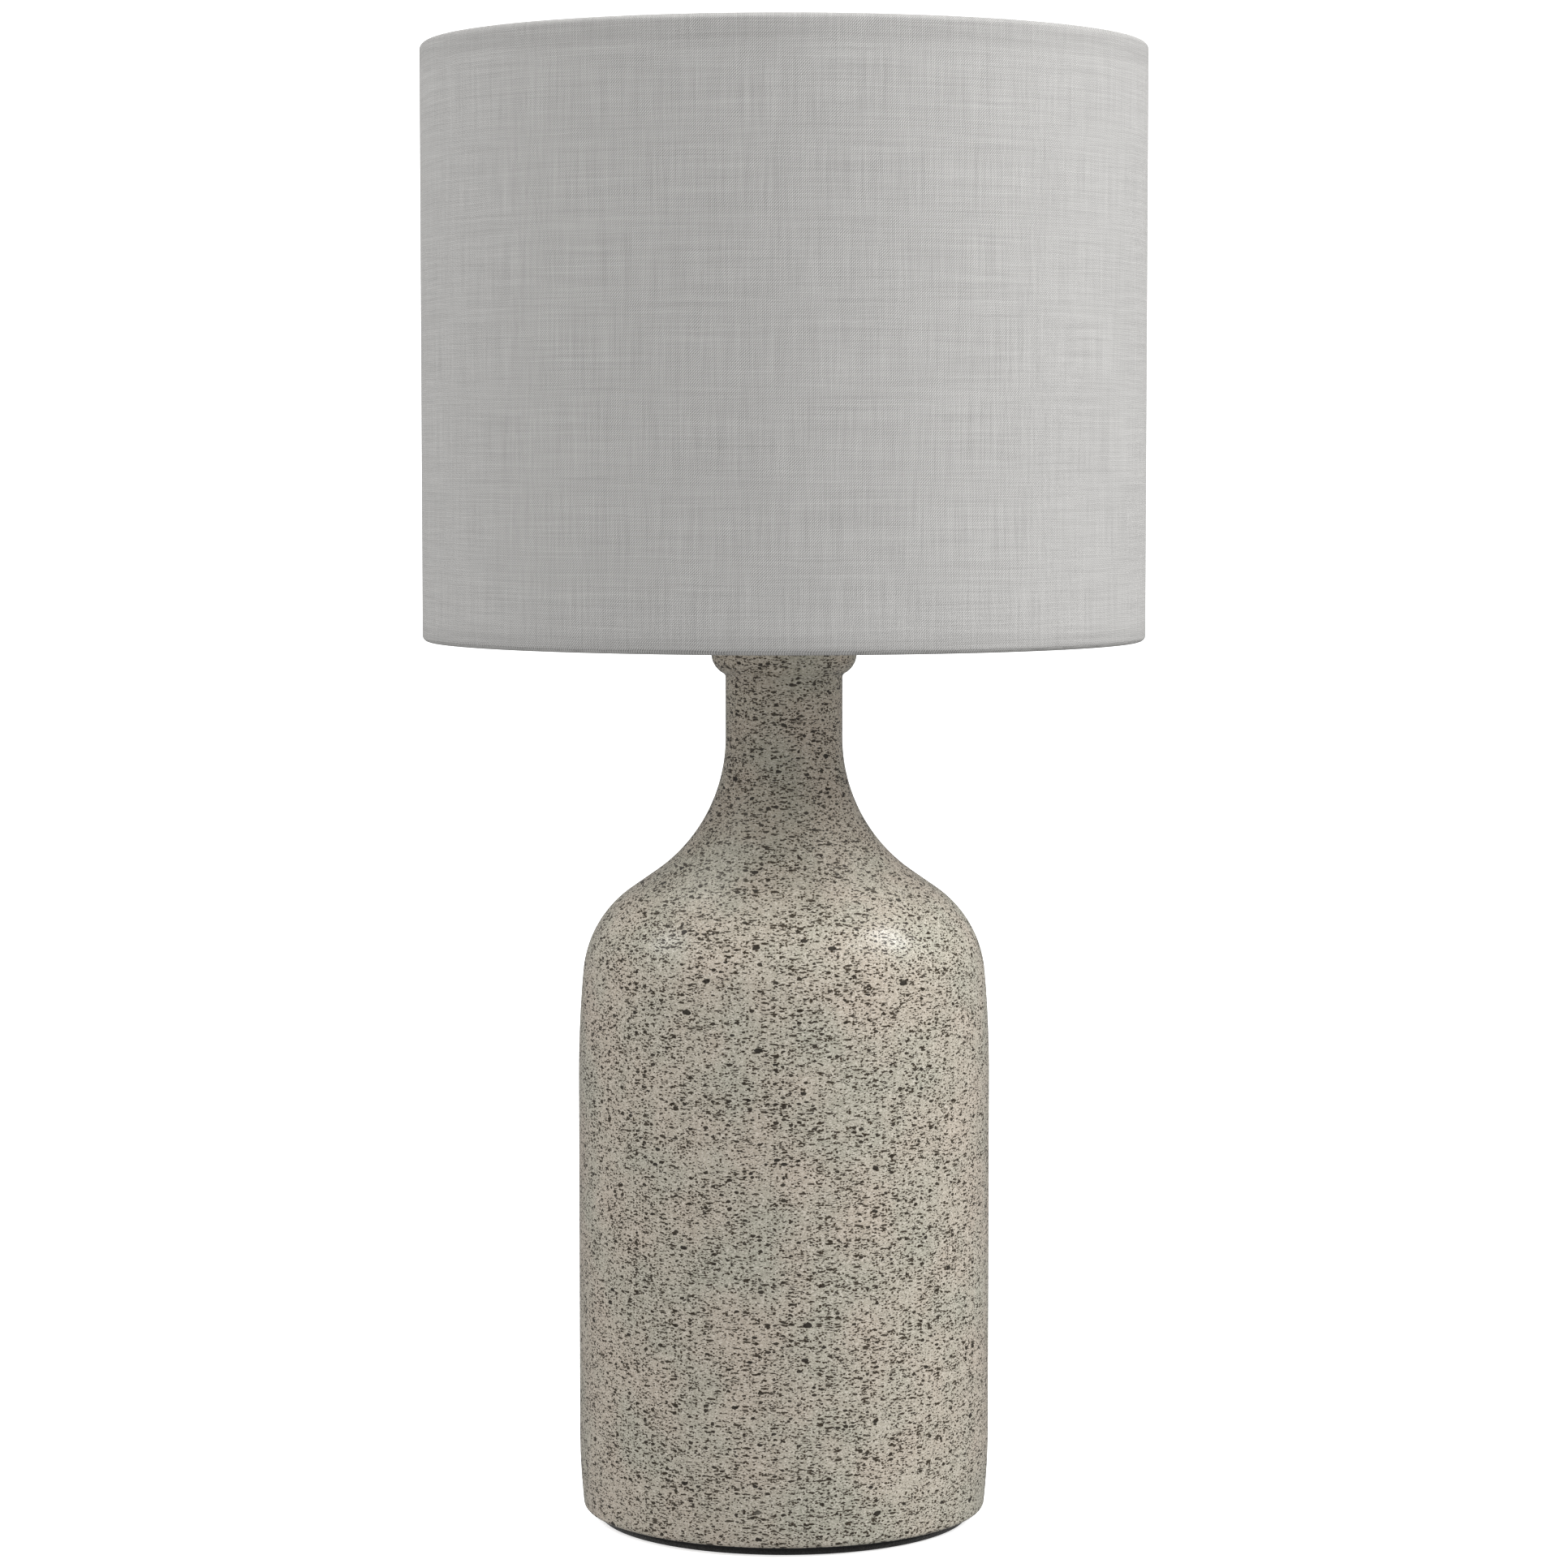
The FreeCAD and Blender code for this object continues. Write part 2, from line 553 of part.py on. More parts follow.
def switch():
    """Make the switch stem and its fluted knob, laid along -Y."""
    stem_end = "knob_face + 6"
    stem = turned("switch_stem", [("0", "core_radius - 4"), ("stem_radius", "core_radius - 4"),
                                  ("stem_radius", stem_end), ("0", stem_end)])
    lay_back(stem, "stem_z", -1)
    hole = "stem_radius + 0.05"
    far = "knob_face + knob_length"
    knob = new_body("switch_knob")
    turn(knob, [
        (hole, "knob_face"), ("knob_radius - 2.5", "knob_face"), ("knob_radius - 2.5", "knob_face + 3"),
        ("knob_radius", "knob_face + 4"), ("knob_radius", f"{far} - 1", "left", "1"),
        ("knob_radius - 1", far), ("0", far), ("0", f"{stem_end} + 0.2"), (hole, f"{stem_end} + 0.2"),
    ])
    flute_sketch = new_sketch(knob, "XY_Plane", "flute_outline", "knob_face + 3")
    draw_circle(flute_sketch, "knob_radius + 0.4", "0", "1")
    flute = knob.newObject("PartDesign::Pocket", "flute")
    flute.Profile = flute_sketch
    flute.Reversed = True
    bind(flute, "Length", "knob_length")
    DOC.recompute()
    flutes = knob.newObject("PartDesign::PolarPattern", "flutes")
    flutes.Originals = [flute]
    flutes.Axis = (flute_sketch, ["N_Axis"])
    flutes.Angle = 360
    flutes.Occurrences = 16
    knob.Tip = flutes
    lay_back(node(knob), "stem_z", -1)


# ---------------------------------------------------------------- the harp

def harp():
    """Make the bent wire of the harp."""
    body = new_body("harp_wire")
    bend_x = "leg_reach + foot_bend * (1 - cos(bend_turn))"
    rise_arc = f"(harp_reach - ({bend_x})) / (1 - cos(bend_turn))"
    bow_z = "harp_crown - crown_bend * (1 - sin(bow_turn)) - bow_arc * sin(bow_turn)"
    bend_z = f"{bow_z} - {rise_arc} * sin(bend_turn)"
    crown_x = "harp_reach - bow_arc * (1 - cos(bow_turn))"
    half = [
        ("leg_reach", "leg_low"),
        ("leg_reach", f"{bend_z} - foot_bend * sin(bend_turn)", "right", "foot_bend"),
        (bend_x, bend_z, "left", rise_arc),
        ("harp_reach", bow_z, "left", "bow_arc"),
        (crown_x, "harp_crown - crown_bend * (1 - sin(bow_turn))", "left", "crown_bend"),
        (f"{crown_x} - crown_bend * cos(bow_turn)", "harp_crown"),
    ]
    other = []
    for number in range(len(half) - 1, -1, -1):
        corner = (f"-({half[number][0]})", half[number][1])
        if number > 0 and len(half[number - 1]) > 2:
            corner += half[number - 1][2:]
        other.append(corner)
    wire(body, "harp_bend", ("leg_reach", "0"), "leg_low", "wire_radius", "XZ_Plane", half + other)
    node(body)


def stud():
    """Make the threaded stud, brazed over the wire at the harp's crown."""
    barrel = "wire_radius + 2.6"
    body = turned("harp_stud", [
        ("0", "harp_crown - 3.2"), (barrel, "harp_crown - 3.2"), (barrel, "flange_low"),
        ("flange_radius", "flange_low"), ("flange_radius", "flange_low + flange_height"),
        ("stud_radius", "flange_low + flange_height"), ("stud_radius", "stud_top - 0.6"),
        ("stud_radius - 0.6", "stud_top"), ("0", "stud_top"),
    ])
    DOC.recompute()
    passage = new_sketch(body, "YZ_Plane", "wire_passage_outline", f"-({barrel} + 1)")
    draw_circle(passage, "0", "harp_crown", "wire_radius + 0.05")
    cut = body.newObject("PartDesign::Pocket", "wire_passage")
    cut.Profile = passage
    cut.Reversed = True
    bind(cut, "Length", f"2 * ({barrel} + 1)")


def sleeves():
    """Make the two sleeves that lock the harp's legs on the saddle's prongs."""
    low, high = "sleeve_low + 0.2", "sleeve_low + sleeve_length"
    for side, across in (("left", "-leg_reach"), ("right", "leg_reach")):
        sleeve = turned(f"harp_sleeve_{side}", [
            ("sleeve_bore", low), ("sleeve_radius", low), ("sleeve_radius", f"{high} - 2"),
            ("sleeve_radius - 0.6", high), ("sleeve_bore", high),
        ])
        bind(sleeve, "Placement.Base.x", across)


# ---------------------------------------------------------------- the shade and the finial

SEAT = "(flange_low + flange_height)"
HUB_LOW = f"({SEAT} + shim_height)"
HUB_TOP = f"({HUB_LOW} + hub_height)"
RING_RADIUS = "(shade_radius - roll_radius)"
TOP_RING_Z = "(shade_top - roll_radius)"
LOW_RING_Z = "(shade_low + roll_radius)"


def spider():
    """Make the washer, hub and arms that carry the shade."""
    ring("shade_washer", "stud_clear", "flange_radius", SEAT, HUB_LOW)
    ring("spider_hub", "stud_clear + 0.2", "hub_radius", HUB_LOW, HUB_TOP)
    arm_z = f"({HUB_LOW} + hub_height / 2)"
    arm_top = f"{TOP_RING_Z} - ring_wire"
    for number in range(ARM_COUNT):
        body = new_body(f"spider_arm_{number + 1}")
        wire(body, f"arm_bend_{number + 1}", ("arm_reach", "0"), arm_top, "arm_radius", "XZ_Plane", [
            ("arm_reach", arm_top), ("arm_reach", f"{arm_z} + arm_bend", "right", "arm_bend"),
            ("arm_reach - arm_bend", arm_z), ("hub_radius + 0.05", arm_z),
        ])
        angle = 90 + 360 / ARM_COUNT * number
        body.Placement.Rotation = FreeCAD.Rotation(FreeCAD.Vector(0, 0, 1), angle)
        node(body)


def shade():
    """Make the two rings, the liner and the fabric that is rolled over both rings."""
    for label, height in (("top_ring", TOP_RING_Z), ("bottom_ring", LOW_RING_Z)):
        wire_ring = DOC.addObject("Part::Torus", label)
        wire_ring.Label = label
        bind(wire_ring, "Radius1", RING_RADIUS)
        bind(wire_ring, "Radius2", "ring_wire")
        bind(wire_ring, "Placement.Base.z", height)
        node(wire_ring)
    liner_radius = "shade_radius - fabric_wall - 0.05"
    ring("shade_liner", f"{liner_radius} - liner_wall", liner_radius, LOW_RING_Z, TOP_RING_Z)
    inner = "(roll_radius - fabric_wall)"
    turned("shade_fabric", [
        ("shade_radius", LOW_RING_Z),
        ("shade_radius", TOP_RING_Z, "left", "roll_radius"),
        (RING_RADIUS, "shade_top", "left", "roll_radius"),
        (f"{RING_RADIUS} - roll_radius", TOP_RING_Z),
        (f"{RING_RADIUS} - {inner}", TOP_RING_Z, "right", inner),
        (RING_RADIUS, "shade_top - fabric_wall", "right", inner),
        ("shade_radius - fabric_wall", TOP_RING_Z),
        ("shade_radius - fabric_wall", LOW_RING_Z, "right", inner),
        (RING_RADIUS, "shade_low + fabric_wall", "right", inner),
        (f"{RING_RADIUS} - {inner}", LOW_RING_Z),
        (f"{RING_RADIUS} - roll_radius", LOW_RING_Z, "left", "roll_radius"),
        (RING_RADIUS, "shade_low", "left", "roll_radius"),
    ])


def finial():
    """Make the washer and the ball finial that hold the shade down."""
    low = f"({HUB_TOP} + shim_height)"
    ring("finial_washer", "stud_clear", "7", HUB_TOP, low)
    neck = "4.6"
    ball_z = f"{low} + finial_height - ball_radius"
    meet = f"{ball_z} - sqrt(ball_radius * ball_radius - {neck} * {neck})"
    roof = "stud_top + 3"
    turned("finial", [
        ("stud_radius + 0.1", low), ("6.5", low), ("6.5", f"{low} + 2.4"), (neck, f"{low} + 3.6"),
        (neck, meet, "left", "ball_radius"), ("0", f"{low} + finial_height"), ("0", roof),
        ("stud_radius + 0.1", roof),
    ])


# ---------------------------------------------------------------- the bulb

def bulb():
    """Make the lamp bulb: cap, contacts, housing, globe and the boards inside it."""
    cap_low = "(bulb_low + 3.5)"
    turned("bulb_contact", [("0", "bulb_low"), ("3", "bulb_low"), ("4.6", "bulb_low + 0.8"),
                            ("4.6", "bulb_low + 1.3"), ("0", "bulb_low + 1.3")])
    turned("bulb_insulator", [("0", "bulb_low + 1.3"), ("5.5", "bulb_low + 1.3"),
                              ("11.5", cap_low), ("0", cap_low)])
    ring("bulb_cap", "bulb_thread - 0.4", "bulb_thread", cap_low, "housing_low")
    rim = "sqrt(globe_radius * globe_radius - (globe_z - globe_low) * (globe_z - globe_low))"
    wall = "1.6"
    turned("bulb_housing", [
        (f"bulb_thread - {wall}", "housing_low"), ("bulb_thread + 0.2", "housing_low"),
        (rim, "globe_low"), (f"{rim} - {wall}", "globe_low"),
        (f"{rim} - {wall} - 0.8", "globe_low - 2"), (f"bulb_thread - {wall}", "housing_low + 2"),
    ])
    inner = "(globe_radius - 1.2)"
    inner_rim = f"sqrt({inner} * {inner} - (globe_z - globe_low) * (globe_z - globe_low))"
    turned("bulb_globe", [
        (rim, "globe_low", "left", "globe_radius"), ("globe_radius", "globe_z", "left", "globe_radius"),
        ("0", "globe_z + globe_radius"), ("0", f"globe_z + {inner}", "right", inner),
        (inner, "globe_z", "right", inner), (inner_rim, "globe_low"),
    ])
    ring("led_board", "1.5", f"{inner_rim} - 1.5", "globe_low + 0.2", "globe_low + 1.8")
    board = DOC.addObject("Part::Box", "driver_board")
    board.Label = "driver_board"
    for name, formula in (("Length", "18"), ("Width", "1.6"), ("Height", "34"),
                          ("Placement.Base.x", "-9"), ("Placement.Base.y", "-0.8"),
                          ("Placement.Base.z", "globe_low - 35")):
        bind(board, name, formula)
    node(board)


# ---------------------------------------------------------------- checking and writing

def check():
    """Stop if any object failed or any node has no valid solid."""
    for item in DOC.Objects:
        if {"Invalid", "Error"} & set(item.State):
            raise RuntimeError(f"{item.Label} failed: {item.State}")
    for item in NODES:
        if item.Shape.isNull() or not item.Shape.isValid() or not item.Shape.Solids:
            raise RuntimeError(f"{item.Label} has no valid solid")


def write():
    """Write one STEP file for each node."""
    os.makedirs("parts", exist_ok=True)
    for item in NODES:
        item.Shape.exportStep(os.path.join("parts", f"{item.Label}.step"))
        print(f"{item.Label:20s} {item.Shape.Volume:12.1f} mm3")


fill_sheet()
foot()
bottle()
cord_entry()
neck_stack()
saddle()
socket_shells()
socket_inside()
leads()
switch()
harp()
stud()
sleeves()
spider()
shade()
finial()
bulb()
DOC.recompute()
check()
write()
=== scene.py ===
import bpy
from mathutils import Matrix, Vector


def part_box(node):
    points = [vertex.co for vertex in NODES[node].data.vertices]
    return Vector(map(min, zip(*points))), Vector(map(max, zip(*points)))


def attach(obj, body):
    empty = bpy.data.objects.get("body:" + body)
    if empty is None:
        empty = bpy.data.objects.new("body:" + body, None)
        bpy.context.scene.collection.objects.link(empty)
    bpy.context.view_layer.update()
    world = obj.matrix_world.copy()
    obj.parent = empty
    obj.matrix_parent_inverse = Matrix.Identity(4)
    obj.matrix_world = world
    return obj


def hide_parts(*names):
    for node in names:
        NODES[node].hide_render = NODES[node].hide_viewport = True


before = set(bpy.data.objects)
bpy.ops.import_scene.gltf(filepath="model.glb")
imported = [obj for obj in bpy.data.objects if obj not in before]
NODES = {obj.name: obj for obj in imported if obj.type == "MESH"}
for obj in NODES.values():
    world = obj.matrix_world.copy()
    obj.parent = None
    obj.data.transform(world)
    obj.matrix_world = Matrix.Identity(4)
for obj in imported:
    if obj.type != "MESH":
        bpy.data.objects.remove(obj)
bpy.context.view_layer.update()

import math

import bmesh
import bpy
from mathutils import Matrix, Vector

MM = 0.001
AXIS = Vector((0, 0, 1))


# ---------------------------------------------------------------- sizes read from the frame

def reach(node):
    """Greatest distance of a round CAD node from the lamp's axis."""
    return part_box(node)[1].x


def low(node):
    """Height of a CAD node's lowest point."""
    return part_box(node)[0].z


def high(node):
    """Height of a CAD node's highest point."""
    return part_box(node)[1].z


# ---------------------------------------------------------------- outlines and turned pieces

class Outline:
    """An outline in the (radius, height) plane, drawn like a pen that runs straight and bends."""

    def __init__(self, radius, height, heading=0):
        self.points = [(radius, height)]
        self.heading = math.radians(heading)

    def to(self, radius, height):
        """Go straight to a point."""
        self.points.append((radius, height))
        return self

    def turn(self, degrees):
        """Turn on the spot, to the left when positive."""
        self.heading += math.radians(degrees)
        return self

    def run(self, length, steps=1):
        """Go straight ahead."""
        radius, height = self.points[-1]
        for step in range(1, steps + 1):
            share = length * step / steps
            self.points.append((radius + share * math.cos(self.heading),
                                height + share * math.sin(self.heading)))
        return self

    def bend(self, radius, degrees, steps=8):
        """Go round an arc, to the left when degrees are positive."""
        side = math.copysign(1, degrees)
        start = self.points[-1]
        normal = self.heading + side * math.pi / 2
        centre = (start[0] + radius * math.cos(normal), start[1] + radius * math.sin(normal))
        for step in range(1, steps + 1):
            angle = normal + math.pi + math.radians(degrees) * step / steps
            self.points.append((centre[0] + radius * math.cos(angle),
                                centre[1] + radius * math.sin(angle)))
        self.heading += math.radians(degrees)
        return self


def smooth(mesh, angle):
    """Shade a bmesh smooth between the edges that turn more than an angle."""
    for face in mesh.faces:
        face.smooth = True
    for edge in mesh.edges:
        if len(edge.link_faces) == 2:
            edge.smooth = edge.calc_face_angle(0) < math.radians(angle)


def keep(mesh, name, smooth_angle=40):
    """Turn a bmesh into an object at the origin, with smooth faces between its sharp edges."""
    bmesh.ops.recalc_face_normals(mesh, faces=mesh.faces)
    smooth(mesh, smooth_angle)
    data = bpy.data.meshes.new(name)
    mesh.to_mesh(data)
    mesh.free()
    piece = bpy.data.objects.new(name, data)
    bpy.context.scene.collection.objects.link(piece)
    return piece


def carve(piece, cutter, smooth_angle):
    """Cut a cutter's shape out of a piece, and remove the cutter."""
    cut = piece.modifiers.new("carve", "BOOLEAN")
    cut.operation = "DIFFERENCE"
    cut.solver = "EXACT"
    cut.object = cutter
    graph = bpy.context.evaluated_depsgraph_get()
    data = bpy.data.meshes.new_from_object(piece.evaluated_get(graph))
    piece.modifiers.clear()
    data.name = piece.name
    mesh = bmesh.new()
    mesh.from_mesh(data)
    smooth(mesh, smooth_angle)
    mesh.to_mesh(data)
    mesh.free()
    piece.data = data
    bpy.data.objects.remove(cutter)


def draw_outline(mesh, points, closed):
    """Put an outline in a bmesh as vertices and edges in the XZ plane."""
    corners = [mesh.verts.new((radius, 0, height)) for radius, height in points]
    edges = [mesh.edges.new(pair) for pair in zip(corners, corners[1:])]
    if closed:
        edges.append(mesh.edges.new((corners[-1], corners[0])))
    return corners + edges


def lathe(outline, steps=96, closed=False, sweep=360):
    """Turn an outline round the Z axis, once or part of the way, and give the bmesh."""
    mesh = bmesh.new()
    geometry = draw_outline(mesh, outline.points, closed)
    bmesh.ops.spin(mesh, geom=geometry, axis=AXIS, cent=(0, 0, 0), dvec=(0, 0, 0),
                   angle=math.radians(sweep), steps=steps, use_merge=sweep == 360,
                   use_duplicate=False)
    bmesh.ops.remove_doubles(mesh, verts=mesh.verts, dist=1e-6)
    return mesh


def threaded(radius, depth, pitch, bottom, top, steps=48):
    """Wind a rounded screw thread from bottom to top, cut flat and closed at both ends."""
    turns = math.ceil((top - bottom) / pitch) + 2
    mesh = bmesh.new()
    ridge = Outline(radius - depth, bottom - 1.5 * pitch, 90)
    for share in range(1, 9):
        rise = (1 - math.cos(share * math.pi / 4)) / 2
        ridge.to(radius - depth + depth * rise, bottom + pitch * (share / 8 - 1.5))
    geometry = draw_outline(mesh, ridge.points, False)
    bmesh.ops.spin(mesh, geom=geometry, axis=AXIS, cent=(0, 0, 0), dvec=(0, 0, pitch / steps),
                   angle=2 * math.pi * turns, steps=steps * turns, use_merge=False,
                   use_duplicate=False)
    bmesh.ops.remove_doubles(mesh, verts=mesh.verts, dist=5e-6)
    for height, side in ((bottom, -1), (top, 1)):
        everything = mesh.verts[:] + mesh.edges[:] + mesh.faces[:]
        bmesh.ops.bisect_plane(mesh, geom=everything, dist=1e-7, plane_co=(0, 0, height),
                               plane_no=(0, 0, side), clear_outer=True)
        rim = [edge for edge in mesh.edges if edge.is_boundary
               and abs(edge.verts[0].co.z - height) + abs(edge.verts[1].co.z - height) < 1e-6]
        bmesh.ops.contextual_create(mesh, geom=rim)
    return mesh


def settle(piece, material, slot, body, *replaced):
    """Give a piece its finish and its body, and hide the CAD nodes that it stands for; slot is not
    used.
    """
    piece.data.materials.append(material)
    if replaced:
        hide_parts(*replaced)
    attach(piece, body)


# ---------------------------------------------------------------- shader maths

class Value:
    """A number or colour inside a material, so that shader maths is written as Python."""

    def __init__(self, tree, socket):
        self.tree = tree
        self.socket = socket

    def math(self, operation, *others):
        """Add one Math node."""
        node = self.tree.nodes.new("ShaderNodeMath")
        node.operation = operation
        for place, item in enumerate((self, *others)):
            if isinstance(item, Value):
                self.tree.links.new(item.socket, node.inputs[place])
            else:
                node.inputs[place].default_value = item
        return Value(self.tree, node.outputs[0])

    def __add__(self, other):
        return self.math("ADD", other)

    def __sub__(self, other):
        return self.math("SUBTRACT", other)

    def __rsub__(self, other):
        return self.math("MULTIPLY", -1.0).math("ADD", other)

    def __mul__(self, other):
        return self.math("MULTIPLY", other)

    def __truediv__(self, other):
        return self.math("DIVIDE", other)

    def __pow__(self, other):
        return self.math("POWER", other)

    __radd__ = __add__
    __rmul__ = __mul__


class Finish:
    """A material of one Principled shader, with the nodes that feed it."""

    def __init__(self, name, **constants):
        self.material = bpy.data.materials.new(name)
        self.material.use_nodes = True
        self.tree = self.material.node_tree
        self.shader = self.tree.nodes["Principled BSDF"]
        for socket, number in constants.items():
            self.shader.inputs[socket.replace("_", " ")].default_value = number

    def node(self, kind, inputs=None, settings=None, output=0):
        """Add a node of any type with its settings, and feed its sockets numbers or Values."""
        node = self.tree.nodes.new(kind)
        for name, setting in (settings or {}).items():
            setattr(node, name, setting)
        for name, item in (inputs or {}).items():
            self.feed(node.inputs[name], item)
        return Value(self.tree, node.outputs[output])

    def feed(self, socket, item):
        """Link a Value to a socket, or set a constant on it."""
        if isinstance(item, Value):
            self.tree.links.new(item.socket, socket)
        else:
            socket.default_value = item

    def set(self, socket, item):
        """Feed one socket of the shader."""
        self.feed(self.shader.inputs[socket], item)

    def place(self, source="Object", scale=(1, 1, 1)):
        """Give the surface's coordinates, scaled."""
        return self.stretch(self.node("ShaderNodeTexCoord", output=source), scale)

    def stretch(self, spot, scale, shift=(0, 0, 0)):
        """Scale coordinates along each axis, then shift them."""
        return self.node("ShaderNodeMapping",
                         {"Vector": spot, "Scale": scale, "Location": shift})

    def apart(self, spot):
        """Give the X, Y and Z of a vector as three numbers."""
        node = self.tree.nodes.new("ShaderNodeSeparateXYZ")
        self.feed(node.inputs[0], spot)
        return [Value(self.tree, socket) for socket in node.outputs]

    def together(self, x, y, z=0.0):
        """Make a vector of three numbers."""
        return self.node("ShaderNodeCombineXYZ", {"X": x, "Y": y, "Z": z})

    def noise(self, spot, scale=1.0, detail=2.0, roughness=0.5, colour=False):
        """Give soft noise, as a number or as a colour."""
        inputs = {"Vector": spot, "Scale": scale, "Detail": detail, "Roughness": roughness}
        return self.node("ShaderNodeTexNoise", inputs, output=1 if colour else 0)

    def sway(self, spot, scale, amount):
        """Shift coordinates a little by noise, so that what they draw turns irregular."""
        wave = self.noise(spot, scale, 1.0, colour=True)
        centred = self.node("ShaderNodeVectorMath", {0: wave, 1: (0.5, 0.5, 0.5)},
                            {"operation": "SUBTRACT"})
        scaled = self.node("ShaderNodeVectorMath", {0: centred, "Scale": amount},
                           {"operation": "SCALE"})
        return self.node("ShaderNodeVectorMath", {0: spot, 1: scaled}, {"operation": "ADD"})

    def step(self, value, start, end):
        """Rise smoothly from 0 at start to 1 at end."""
        inputs = {"Value": value, "From Min": start, "From Max": end}
        return self.node("ShaderNodeMapRange", inputs, {"interpolation_type": "SMOOTHSTEP"})

    def blend(self, share, first, second):
        """Mix two colours."""
        return self.node("ShaderNodeMix", {0: share, 6: first, 7: second},
                         {"data_type": "RGBA"}, output=2)

    def bump(self, height, distance, strength=1.0):
        """Let a height in metres times distance stand out of the surface."""
        inputs = {"Height": height, "Distance": distance, "Strength": strength}
        self.set("Normal", self.node("ShaderNodeBump", inputs))


def colour(red, green, blue):
    """Turn a screen colour, 0 to 255, into the linear colour that a shader takes."""
    def linear(level):
        level /= 255
        return level / 12.92 if level <= 0.04045 else ((level + 0.055) / 1.055) ** 2.4
    return (linear(red), linear(green), linear(blue), 1.0)


# ---------------------------------------------------------------- the finishes

def specks(finish, spot, cell, share, small, large):
    """Give a mask of scattered specks: a share of the cells hold one of a random radius."""
    soft_edge, soft_pick = 0.10 * MM, 0.02
    distance = finish.node("ShaderNodeTexVoronoi", {"Vector": spot, "Scale": 1 / cell})
    draws = Value(finish.tree, distance.socket.node.outputs["Color"])
    chance, pick, _ = finish.apart(draws)
    radius = (small + (chance ** 2.0) * (large - small)) / cell
    present = finish.step(pick - share, 0.0, -soft_pick)
    return finish.step(radius - distance, 0.0, soft_edge / cell) * present


def speckled_glaze():
    """Semi-gloss stoneware glaze: warm grey-beige, densely speckled with iron brown."""
    finish = Finish("speckled_glaze", IOR=1.5)
    spot = finish.place()
    drift = finish.noise(spot, 1 / (30 * MM), 2.0, 0.5)
    crowd = finish.noise(spot, 1 / (11 * MM), 2.0, 0.55)
    cloud = finish.noise(spot, 1 / (3.2 * MM), 3.0, 0.6)
    loose = finish.sway(spot, 1 / (2.0 * MM), 1.0 * MM)
    flat = finish.stretch(loose, (0.85, 0.85, 1.5))
    flatter = finish.stretch(loose, (0.45, 0.45, 1.7))
    crowded = (crowd - 0.5) * 0.9
    fine = specks(finish, flat, cell=1.05 * MM, share=crowded + 0.80,
                  small=0.24 * MM, large=0.68 * MM)
    dashes = specks(finish, flatter, cell=1.7 * MM, share=crowded + 0.64,
                    small=0.26 * MM, large=0.90 * MM)
    clots = finish.noise(flatter, 1 / (1.0 * MM), 1.5, 0.55) + crowded * 0.2
    streaks = finish.step(clots, 0.62, 0.65)
    medium = specks(finish, flat, cell=2.7 * MM, share=crowded + 0.72,
                    small=0.32 * MM, large=1.12 * MM)
    blots = specks(finish, flat, cell=8.5 * MM, share=0.5, small=0.6 * MM, large=1.8 * MM)
    elsewhere = finish.stretch(flat, (1, 1, 1), shift=(0.31, 0.17, 0.23))
    milky = finish.step(finish.noise(elsewhere, 1 / (0.7 * MM), 1.0, 0.6), 0.50, 0.62)
    warm, green = colour(161, 151, 138), colour(150, 148, 135)
    base = finish.blend(finish.step(drift, 0.30, 0.70), warm, green)
    layers = [
        # mask, strength, colour
        (milky, 0.45, colour(212, 205, 194)),
        (finish.step(cloud, 0.35, 0.75), 0.15, colour(128, 120, 108)),
        (fine, 0.94, colour(48, 38, 24)),
        (dashes, 0.93, colour(42, 33, 20)),
        (streaks, 0.93, colour(42, 34, 22)),
        (medium, 0.94, colour(36, 29, 19)),
        (blots, 0.95, colour(31, 26, 19)),
    ]
    for mask, strength, tint in layers:
        base = finish.blend(mask * strength, base, tint)
    finish.set("Base Color", base)
    dark = dashes.math("MAXIMUM", streaks).math("MAXIMUM", medium).math("MAXIMUM", blots)
    finish.set("Roughness", dark * 0.08 + cloud * 0.06 + 0.22)
    peel = finish.noise(spot, 1 / (5.0 * MM), 2.0)
    finish.bump(peel - dark * 0.25, 0.05 * MM, 0.6)
    return finish.material


